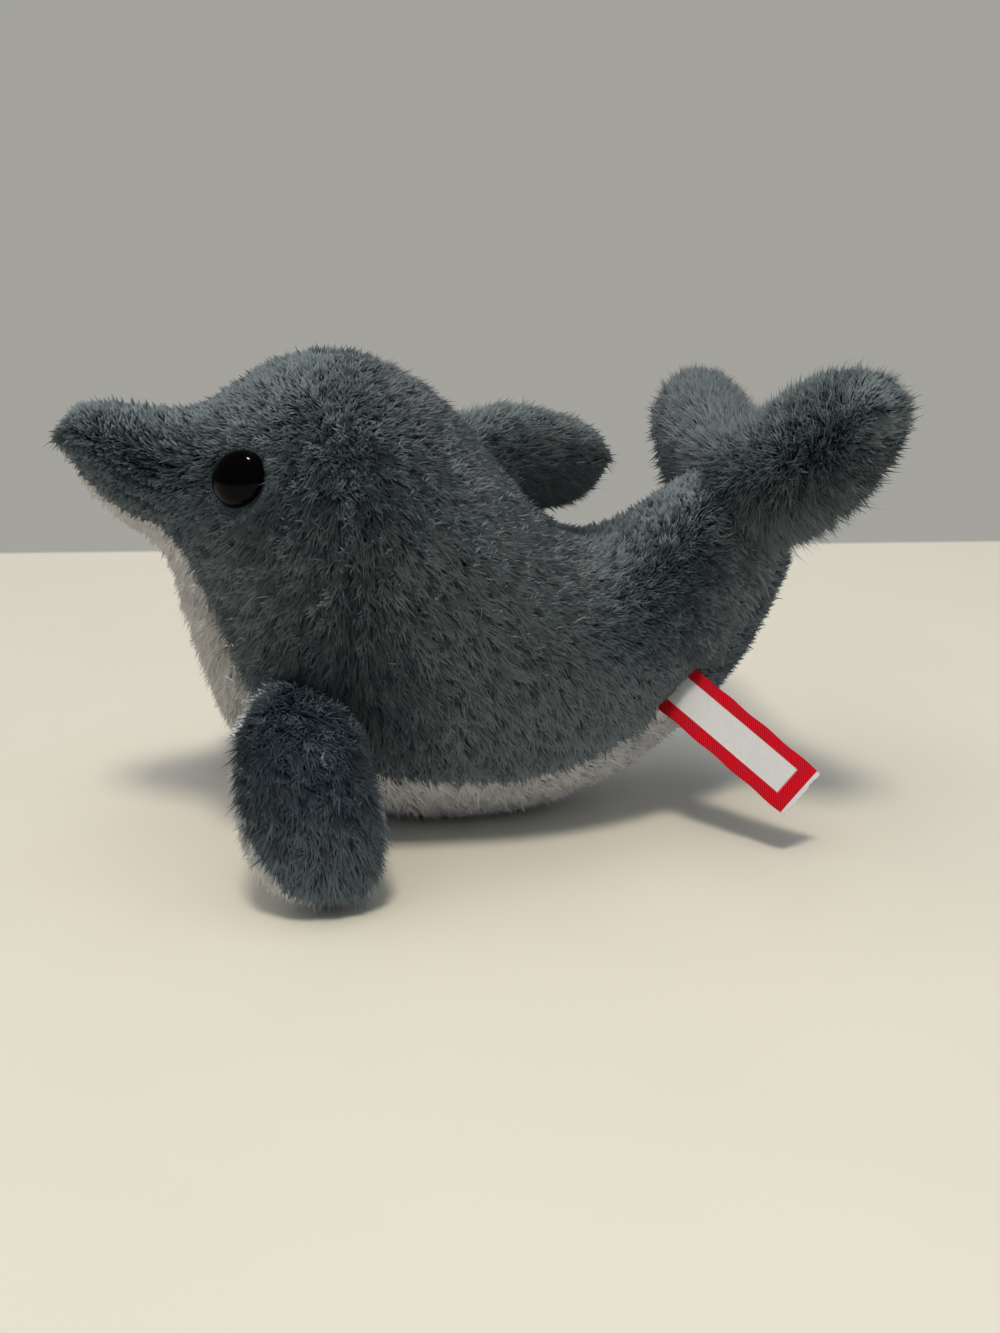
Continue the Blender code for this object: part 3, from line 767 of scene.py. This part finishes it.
def fluke_pile(root, outward, lengthwise):
    """Flow out to the nearer tip, up to the trailing edge and, low down, longer and hanging over the edge."""
    low = 1 - smooth(root[:, 2] / MM, 78, 100)
    flow = np.sign(root[:, 1:2]) * np.array([0.0, 0.7, 0.0]) + np.array([0.4, 0.0, 0.4])
    flow = flow + low[:, None] * np.array([0.2, 0.0, -0.9])
    tips = np.array([flukes[0][0:3], flukes[-1][0:3]]) * MM + DRAFT_ZERO
    to_tip = np.linalg.norm(root[:, None] - tips, axis=2).min(1) / MM
    # Painted light and shade: paler at the tips and where the cover faces up, darker a little way in from the
    # tips.
    pale = np.interp(to_tip, (8, 15, 40), (2.4, -0.6, 0.3)) + 0.5 * facing_up(outward)
    high = (FLUKE_PILE + HANGING_PILE * low) * MM
    return over_surface(flow, outward), high, np.radians(at_tip(to_tip, FLUKE_LEAN)), pale


flukes = twisted(both_sides(FLUKE_ROWS), FLUKE_ROLL, FLUKE_YAW)
for side, half, seed in (("under", first_half, 41), ("upper", second_half, 42)):
    fluke = furred(
        f"fluke_{side}_pile", flukes, half, 28000, cloth_ends(flukes, True, True, FLUKE_INSET), FLUKE_INSET,
        FIN_DIP, fluke_pile, grey_plush, seed,
    )
    cover(fluke, f"fluke_{side}_panel", *(["fluke_filling"] if side == "under" else []))

# Eyes: solid black plastic domes, moulded and polished, pushed through the cloth on barbed stems and held
# by washers behind it. The washers are natural moulded plastic and lie hidden in the filling.
DOME_RADIUS, DOME_HEIGHT, DOME_SINK = 6.5 * MM, 5.5 * MM, 2.5 * MM
STEM_RADIUS, STEM_LENGTH = 2.0 * MM, 11.0 * MM
RIM = 0.35 * MM  # radius of the dome's rounded rim


def grid_faces(steps, columns, closed):
    """Triangles of a grid of points, wrapped from the last column to the first where closed."""
    corner = np.arange(steps * columns).reshape(steps, columns)
    if closed:
        corner = np.concatenate([corner, corner[:, :1]], axis=1)
    a, b = corner[:-1, :-1].ravel(), corner[:-1, 1:].ravel()
    c, d = corner[1:, 1:].ravel(), corner[1:, :-1].ravel()
    return np.concatenate([np.stack([a, b, c], 1), np.stack([a, c, d], 1)])


def turned(name, profile, middle, axis, segments, paint):
    """A (radius, height) profile turned about the axis, from one pole to the other."""
    radius, height = np.array(profile[1:-1]).T
    angle = np.linspace(0, 2 * math.pi, segments, endpoint=False)
    aside = unit(np.cross(axis, (0.0, 0.0, 1.0)))
    up = np.cross(aside, axis)
    ring = np.cos(angle)[:, None] * aside + np.sin(angle)[:, None] * up
    points = middle + radius[:, None, None] * ring + height[:, None, None] * axis
    faces = grid_faces(len(radius), segments, True)
    poles = [middle + profile[end][1] * axis for end in (0, -1)]
    first, last = points[..., 0].size, points[..., 0].size + 1
    spot, after = np.arange(segments), (np.arange(segments) + 1) % segments
    end = (len(radius) - 1) * segments
    caps = [np.stack([np.full(segments, first), after, spot], 1)]
    caps += [np.stack([np.full(segments, last), end + spot, end + after], 1)]
    every = np.concatenate([points.reshape(-1, 3), poles])
    faces = np.concatenate([faces, *caps])
    corners = every[faces]
    outward = np.cross(corners[:, 1] - corners[:, 0], corners[:, 2] - corners[:, 0])
    if (outward * (corners.mean(1) - middle)).sum() < 0:
        faces = faces[:, ::-1]
    made = add_mesh(name, every, faces, {}, paint)
    made.data.set_sharp_from_angle(angle=math.radians(35))
    return made


def dome_profile():
    """Crown first: a flattened half circle, a rounded rim, the flat back and the stem."""
    turns = np.linspace(0, math.pi / 2, 22)
    points = [(DOME_RADIUS * math.sin(t), DOME_HEIGHT * math.cos(t)) for t in turns[:-1]]
    points += [(DOME_RADIUS, RIM), (DOME_RADIUS - 0.3 * RIM, 0.3 * RIM), (DOME_RADIUS - RIM, 0.0)]
    return points + [(STEM_RADIUS, 0.0), (STEM_RADIUS, -STEM_LENGTH), (0.0, -STEM_LENGTH)]


eye = Paint("polished_black_plastic")
handled = eye.ramp(eye.noise(900.0, 3.0), 0.35, 0.8)
eye_black = eye.finish(
    Base_Color=(0.0014, 0.0012, 0.0012, 1),
    Roughness=0.07 + 0.06 * handled,
    Specular_IOR_Level=0.07,
)
washer = Paint("natural_moulded_plastic")
cloudy = washer.ramp(washer.noise(500.0), 0.3, 0.7)
washer_white = washer.finish(
    Base_Color=washer.mix(cloudy, (0.72, 0.72, 0.70, 1), (0.66, 0.66, 0.63, 1)),
    Roughness=0.5,
)
for side, sign in (("left", -1), ("right", 1)):
    middle, axis = eye_seat(sign)
    dome = turned(f"eye_{side}_dome", dome_profile(), middle - DOME_SINK * axis, axis, 64, eye_black)
    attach(dome, "root")
    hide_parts(f"eye_{side}")
    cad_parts[f"eye_washer_{side}"].material_slots[0].material = washer_white

# Side label: a strip of woven satin tape, red borders round a pale field, sewn by one end into the seam
# where side, belly and gusset meet. The other end is cut, and its last threads are loose.
LABEL_WIDTH, LABEL_THICK, LABEL_BOW = 13.0 * MM, 0.7 * MM, 1.5 * MM
EDGE_WAVE, FACE_WAVE = 0.12 * MM, 0.25 * MM  # how far its edges and its face waver
BORDER, END_BAND, CUT_MARGIN = 2.9 * MM, 3.6 * MM, 1.1 * MM
THREAD = 0.26  # millimetres, pitch of the tape's threads
label_length = np.linalg.norm(label_tip - label_root)


def label_strip(name, paint):
    """Root to tip with a sine bow and a slight waviness of the edges, as two faces closed round the edge.

    The UV map holds millimetres: u along from the root, v across.
    """
    run = label_tip - label_root
    across = np.array(LABEL_ACROSS)
    across = unit(across - run * (across @ run) / label_length**2)
    face = unit(np.cross(run, across))
    u, v = np.meshgrid(np.linspace(0, 1, 100), np.linspace(-1, 1, 33), indexing="ij")
    random = np.random.default_rng(51)
    fray = random.uniform(-0.35, 0.25, u.shape[1]) * MM / label_length
    u_cut = u + fray * smooth(u, 1 - 1.6 * CUT_MARGIN / label_length, 1)
    edge = EDGE_WAVE * np.sin(u * 23) * np.sign(v) * np.abs(v) ** 8
    bow = LABEL_BOW * np.sin(math.pi * u_cut) + FACE_WAVE * np.sin(9 * u + 1.5 * v)
    middle = label_root + run * u_cut[..., None] + across * (v * LABEL_WIDTH / 2 + edge)[..., None]
    thin = LABEL_THICK / 2 * np.sqrt(1 - 0.75 * v**6)
    sides = [middle + face * (bow + sign * thin)[..., None] for sign in (1, -1)]
    steps, columns = u.shape
    front = np.arange(u.size).reshape(u.shape)
    back = front + u.size
    faces = [grid_faces(steps, columns, False), grid_faces(steps, columns, False)[:, ::-1] + u.size]
    ends = [(front[0], back[0]), (back[-1], front[-1])]
    edges = [(back[:, 0], front[:, 0]), (front[:, -1], back[:, -1])]
    for near, far in ends + edges:
        faces.append(np.stack([near[:-1], far[:-1], far[1:]], 1))
        faces.append(np.stack([near[:-1], far[1:], near[1:]], 1))
    points = np.concatenate([side.reshape(-1, 3) for side in sides])
    faces = np.concatenate(faces)
    corners = points[faces[0]]
    if np.cross(corners[1] - corners[0], corners[2] - corners[0]) @ face < 0:
        faces = faces[:, ::-1]
    made = add_mesh(name, points, faces, {}, paint)
    made.data.set_sharp_from_angle(angle=math.radians(50))
    layer = made.data.uv_layers.new(name="tape")
    flat = np.stack([u_cut * label_length, v * LABEL_WIDTH / 2], 2).reshape(-1, 2) / MM
    flat = np.concatenate([flat, flat])[faces.ravel()]
    layer.data.foreach_set("uv", flat.ravel().astype(np.float32))
    return made


def tape_paint():
    """Red satin borders with twill ribs round a pale satin field, stepped thread by thread.

    A wave is the sine of a place over so many threads; twill = ribs * (0.65 + 0.35 * dots).
    """
    paint = Paint("woven_satin_tape")

    def past(value, start):
        """0 up to that metre along or across, 1 past it, with a soft edge of 0.1 mm."""
        return paint.ramp(value, start / MM - 0.05, start / MM + 0.05)

    def wave(value, threads):
        return paint.calculated("SINE", value * (2 * math.pi / (THREAD * threads)))

    tape = paint.node("ShaderNodeUVMap", {"uv_map": "tape"})
    u = paint.node("ShaderNodeSeparateXYZ", (), {"Vector": tape}, output="X")
    v = u.beside("Y")
    stepped_u = paint.calculated("SNAP", u, THREAD)
    off_middle = paint.calculated("ABSOLUTE", paint.calculated("SNAP", v, THREAD))
    in_border = past(off_middle, LABEL_WIDTH / 2 - BORDER)
    in_band = past(stepped_u, label_length - END_BAND - CUT_MARGIN)
    at_cut = past(stepped_u, label_length - CUT_MARGIN)
    red = paint.calculated("MAXIMUM", in_border, in_band) * (1 - at_cut)
    ribs, dots = wave(u + v, 2.6), wave(u - v, 1.5)
    twill = ribs * (0.65 + 0.35 * dots)
    weft, warp = wave(u, 1.3), wave(v, 1.3)
    floats = weft * warp
    weave = red * twill + (1 - red) * (0.45 * floats + 0.25 * warp)
    uneven = paint.ramp(paint.noise(1500.0, 3.0), 0.3, 0.7)
    red_tone = paint.mix(0.45 + 0.55 * twill, (0.36, 0.001, 0.006, 1), (0.86, 0.012, 0.03, 1))
    pale_tone = paint.mix(0.6 + 0.35 * floats, (0.60, 0.59, 0.58, 1), (0.80, 0.79, 0.78, 1))
    pale_tone = paint.mix(0.15 * uneven, pale_tone, (0.45, 0.42, 0.42, 1))
    colour = paint.mix(red, pale_tone, red_tone)
    bump = paint.node("ShaderNodeBump", (), {"Strength": 0.5, "Distance": 0.00012, "Height": weave})
    return paint.finish(
        Base_Color=colour, Roughness=0.5 + 0.12 * uneven, Normal=bump, Specular_IOR_Level=0.12
    )


label = label_strip("side_label_tape", tape_paint())
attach(label, "root")
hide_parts("side_label")

# Setting: a pale table top before a plain grey background, seen from where the photograph was taken. It is
# lit by a warm ceiling lamp in front and a wide lamp overhead; a bulb behind gleams in polished surfaces.
AZIMUTH, ELEVATION, DISTANCE = math.radians(-12.0), math.radians(17.0), 0.424
TARGET = Vector((0.00935, -0.0005, 0.0365))
FOCAL = 62.05  # millimetres, for a 36 mm wide picture
REACH = 6  # metres from the middle to each side of the ground
TABLE_REAR, TABLE_END = (0.156, 0.988, 0.0), 0.285  # direction and distance of the table's rear edge
TABLE_EDGE = 0.008  # width over which the table's colour ends
TABLE_COLOUR, TABLE_CLOUD = (0.78, 0.735, 0.625), (0.74, 0.70, 0.59)
GREY_COLOUR = (0.37, 0.365, 0.335)

floor_mesh = bpy.data.meshes.new("floor")
corners = [(-REACH, -REACH, 0), (REACH, -REACH, 0), (REACH, REACH, 0), (-REACH, REACH, 0)]
floor_mesh.from_pydata(corners, [], [(0, 1, 2, 3)])
floor = bpy.data.objects.new("floor", floor_mesh)
bpy.context.scene.collection.objects.link(floor)
ground = Paint("pale_table")
sockets = {0: ground.place(), 1: TABLE_REAR}
rearwards = ground.node("ShaderNodeVectorMath", {"operation": "DOT_PRODUCT"}, sockets, output="Value")
beyond = ground.ramp(rearwards, TABLE_END, TABLE_END + TABLE_EDGE)
clouds = ground.ramp(ground.noise(14.0, 3.0), 0.25, 0.75)
table_tone = ground.mix(0.5 * clouds, (*TABLE_COLOUR, 1), (*TABLE_CLOUD, 1))
floor_mesh.materials.append(
    ground.finish(Base_Color=ground.mix(beyond, table_tone, (*GREY_COLOUR, 1)), Roughness=0.55)
)
grey = ground.node("ShaderNodeEmission", (), {"Color": (*GREY_COLOUR, 1), "Strength": 1.0})
by_eye = ground.node("ShaderNodeLightPath", output="Is Camera Ray")
lit = Shade(ground, ground.shader.outputs[0])
surface = ground.node("ShaderNodeMixShader", (), {0: beyond * by_eye, 1: lit, 2: grey})
ground.feed(ground.tree.nodes["Material Output"].inputs["Surface"], surface)

camera = bpy.data.objects.new("camera", bpy.data.cameras.new("camera"))
bpy.context.scene.collection.objects.link(camera)
camera.data.sensor_fit = "HORIZONTAL"
camera.data.sensor_width = 36
camera.data.lens = FOCAL
level = math.cos(ELEVATION)
out = Vector((math.sin(AZIMUTH) * level, -math.cos(AZIMUTH) * level, math.sin(ELEVATION)))
camera.location = TARGET + out * DISTANCE
camera.rotation_euler = (-out).to_track_quat("-Z", "Y").to_euler()
bpy.context.scene.camera = camera


def area_lamp(name, place, size, watts, colour, gleam=False):
    """A lamp for the whole light, or for gleams on gloss alone."""
    data = bpy.data.lights.new(name, "AREA")
    data.size = size
    data.energy = watts
    data.color = colour
    lamp = bpy.data.objects.new(name, data)
    lamp.location = place
    lamp.rotation_euler = (-Vector(place)).to_track_quat("-Z", "Y").to_euler()
    lamp.visible_glossy, lamp.visible_diffuse = gleam, not gleam
    bpy.context.scene.collection.objects.link(lamp)


area_lamp("ceiling", (-0.35, -1.15, 2.8), 0.5, 47.0, (1.0, 0.93, 0.80))
area_lamp("room", (-0.5, 0.0, 2.6), 3.0, 32.0, (0.98, 0.97, 0.95))
area_lamp("bulb", (0.4, 0.3, 1.9), 0.15, 20.0, (1.0, 0.94, 0.82), True)
world = bpy.data.worlds.new("room")
world.use_nodes = True
room = world.node_tree


def backdrop(colour, strength):
    """A plain backdrop of the room."""
    made = room.nodes.new("ShaderNodeBackground")
    made.inputs["Color"].default_value = (*colour, 1)
    made.inputs["Strength"].default_value = strength
    return made.outputs[0]


def for_rays(ray, others, these):
    """These for rays of that kind, others for the rest."""
    made = room.nodes.new("ShaderNodeMixShader")
    room.links.new(path.outputs[ray], made.inputs[0])
    room.links.new(others, made.inputs[1])
    room.links.new(these, made.inputs[2])
    return made.outputs[0]


path = room.nodes.new("ShaderNodeLightPath")
lighting = backdrop((0.82, 0.92, 1.08), 0.32)
in_gloss = for_rays("Is Glossy Ray", lighting, backdrop((0.05, 0.05, 0.05), 1.0))
seen = for_rays("Is Camera Ray", in_gloss, backdrop(GREY_COLOUR, 1.0))
room.links.new(seen, room.nodes["World Output"].inputs[0])
bpy.context.scene.world = world
bpy.context.scene.view_settings.view_transform = "Standard"
